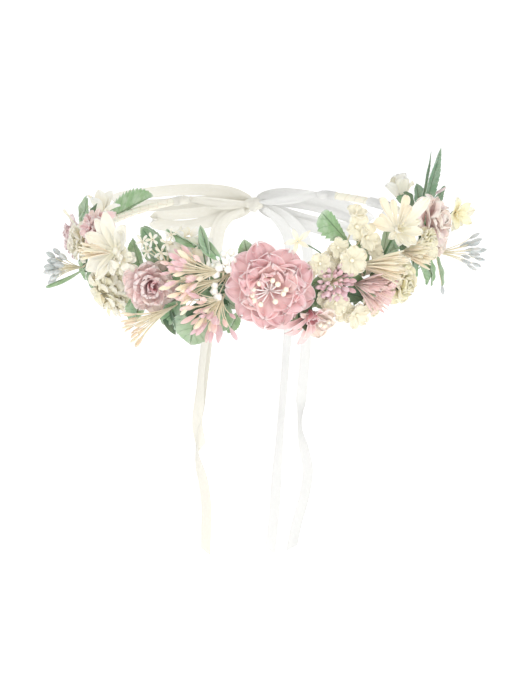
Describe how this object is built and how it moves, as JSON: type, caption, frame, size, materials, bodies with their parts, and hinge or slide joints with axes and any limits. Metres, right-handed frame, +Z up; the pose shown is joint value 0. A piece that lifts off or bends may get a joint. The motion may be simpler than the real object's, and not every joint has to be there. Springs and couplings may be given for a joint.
{
  "type": "flower crown",
  "caption": "Open wire ring wrapped in paper tape, carrying paper flowers, buds and leaves, closed at the back by a satin ribbon bow with hanging tails.",
  "frame": {"origin": "centre of the ring, where the head's axis passes through it", "axes": "+Z up along the head's axis, -Y to the front where the large peony is, +X to the right as seen from the front"},
  "size_m": [0.2298, 0.2171, 0.2861],
  "materials": {
    "core_wire": "plain drawn wire",
    "paper_tape": "crepe paper tape, matt",
    "satin_ribbon": "satin sheen",
    "pink_paper": "matt paper with pale edges",
    "rose_paper": "matt paper, deeper rose",
    "mauve_paper": "matt dusty paper",
    "white_paper": "matt, faintly glossy beads",
    "ivory_paper": "matt paper",
    "cream_paper": "matt paper",
    "yellow_paper": "matt paper",
    "peach_paper": "matt paper",
    "leaf_green": "waxed paper leaf, low sheen",
    "leaf_dark": "waxed paper leaf, low sheen",
    "grey_green_buds": "matt coated buds"
  },
  "bodies": {
    "crown": {"wire_front": "core_wire", "tape_front": "paper_tape", "bow_knot": "satin_ribbon", "bow_loop_1": "satin_ribbon", "bow_loop_2": "satin_ribbon", "bow_loop_3": "satin_ribbon", "bow_loop_4": "satin_ribbon", "peony_outer": "pink_paper", "peony_inner": "rose_paper", "peony_stamens": "white_paper", "peony_leaves": "leaf_green", "berries_white": "white_paper", "buds_upper": "mauve_paper", "buds_lower": "pink_paper", "leaves_folded": "leaf_green", "frill_ivory": "cream_paper", "leaves_low": "leaf_green", "tassel_cream": "cream_paper", "peony_small": "mauve_paper", "leaves_left": "leaf_dark", "filigree_sprig": "cream_paper", "lily_left": "ivory_paper", "lily_left_stamens": "peach_paper", "carnation_cream": "cream_paper", "rose_pink_left": "pink_paper", "rose_ivory": "ivory_paper", "petals_mauve": "mauve_paper", "sprig_left": "grey_green_buds", "leaves_back_left": "leaf_green", "bloom_ivory_small": "ivory_paper", "leaf_broad_left": "leaf_green", "florets_upper": "cream_paper", "leaf_broad_right": "leaf_green", "buds_right": "mauve_paper", "carnation_pink": "pink_paper", "florets_lower": "cream_paper", "brush_peach": "peach_paper", "brush_dusty": "mauve_paper", "carnation_yellow": "yellow_paper", "lily_right": "ivory_paper", "floret_side": "cream_paper", "rose_pink_right": "pink_paper", "rosebud_white": "white_paper", "blade_leaves": "leaf_dark", "flower_yellow": "yellow_paper", "sprig_right": "grey_green_buds", "leaves_right": "leaf_dark"},
    "left_arm": {"wire_left": "core_wire", "tape_left": "paper_tape", "hitch_left": "satin_ribbon", "strand_left": "satin_ribbon"},
    "right_arm": {"wire_right": "core_wire", "tape_right": "paper_tape", "hitch_right": "satin_ribbon", "strand_right": "satin_ribbon", "ribbon_wrap": "satin_ribbon"},
    "left_tails": {"tail_left_short": "satin_ribbon", "tail_left_long": "satin_ribbon"},
    "right_tails": {"tail_right_inner": "satin_ribbon", "tail_right_outer": "satin_ribbon"}
  },
  "joints": [
    {"name": "left_arm_bend", "type": "hinge", "parent": "crown", "child": "left_arm", "pos_m": [-0.07972, 0.0479, 0], "axis": [0, 0, -1], "range_deg": [0, 8]},
    {"name": "right_arm_bend", "type": "hinge", "parent": "crown", "child": "right_arm", "pos_m": [0.07972, 0.0479, 0], "axis": [0, 0, 1], "range_deg": [0, 8]},
    {"name": "left_tails_swing", "type": "hinge", "parent": "crown", "child": "left_tails", "pos_m": [0, 0.0892, -0.006], "axis": [1, 0, 0], "range_deg": [-20, 6]},
    {"name": "right_tails_swing", "type": "hinge", "parent": "crown", "child": "right_tails", "pos_m": [0, 0.089, -0.006], "axis": [1, 0, 0], "range_deg": [-20, 6]}
  ]
}
